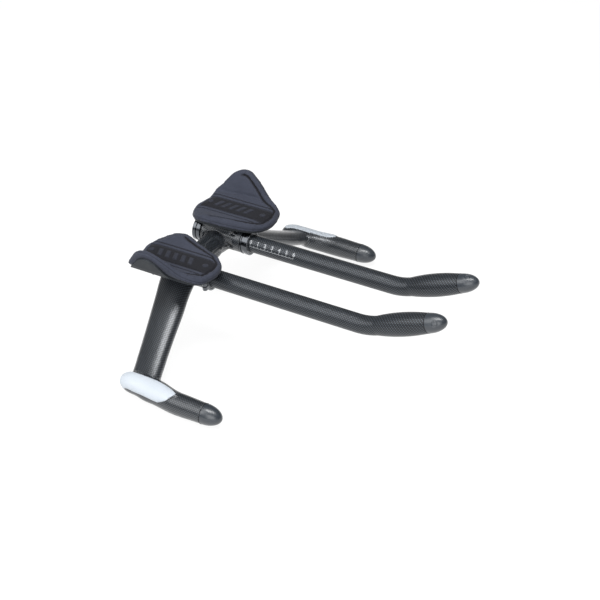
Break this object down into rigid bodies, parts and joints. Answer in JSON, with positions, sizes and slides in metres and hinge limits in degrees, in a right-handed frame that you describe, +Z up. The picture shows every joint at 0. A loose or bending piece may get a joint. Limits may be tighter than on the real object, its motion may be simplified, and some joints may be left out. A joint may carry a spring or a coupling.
{
  "type": "time trial handlebar",
  "caption": "One-piece wing-shaped base bar with level outer grips and forward extensions held in clamped sockets under padded arm cups.",
  "frame": {"origin": "middle of the round stem clamp zone, on its axis", "axes": "+X forward along the extensions, +Y to the rider's left along the clamp axis, +Z up"},
  "size_m": [0.382, 0.407, 0.1419],
  "materials": {
    "carbon_weave": "woven carbon fibre under clear gloss lacquer",
    "pad_foam": "dark charcoal fabric over moulded foam",
    "palm_gel": "soft pale grey",
    "plug_plastic": "satin black",
    "cup_plastic": "smooth dark grey moulding",
    "hook_and_loop": "black hook and loop sheet",
    "black_alloy": "polished black anodised",
    "plain_alloy": "machined",
    "bolt_steel": "zinc plated"
  },
  "bodies": {
    "bar": {"base_bar": "carbon_weave", "left_front_collar": "black_alloy", "left_rear_collar": "black_alloy", "left_cup_spacer": "cup_plastic", "left_arm_cup": "cup_plastic", "left_pad_fastening": "hook_and_loop", "left_arm_pad": "pad_foam", "left_palm_pad": "palm_gel", "left_horn_plug": "plug_plastic", "right_front_collar": "black_alloy", "right_rear_collar": "black_alloy", "right_cup_spacer": "cup_plastic", "right_arm_cup": "cup_plastic", "right_pad_fastening": "hook_and_loop", "right_arm_pad": "pad_foam", "right_palm_pad": "palm_gel", "right_horn_plug": "plug_plastic", "collar_bolts": "bolt_steel", "cup_bolts": "bolt_steel", "seat_inserts": "plain_alloy", "socket_grub_screws": "bolt_steel"},
    "left_tube": {"left_extension": "carbon_weave", "left_extension_plug": "plug_plastic"},
    "right_tube": {"right_extension": "carbon_weave", "right_extension_plug": "plug_plastic"}
  },
  "joints": [
    {"name": "left_extension_length", "type": "slide", "parent": "bar", "child": "left_tube", "axis": [1, 0, 0], "range_m": [-0.065, 0]},
    {"name": "right_extension_length", "type": "slide", "parent": "bar", "child": "right_tube", "axis": [1, 0, 0], "range_m": [-0.065, 0]}
  ]
}
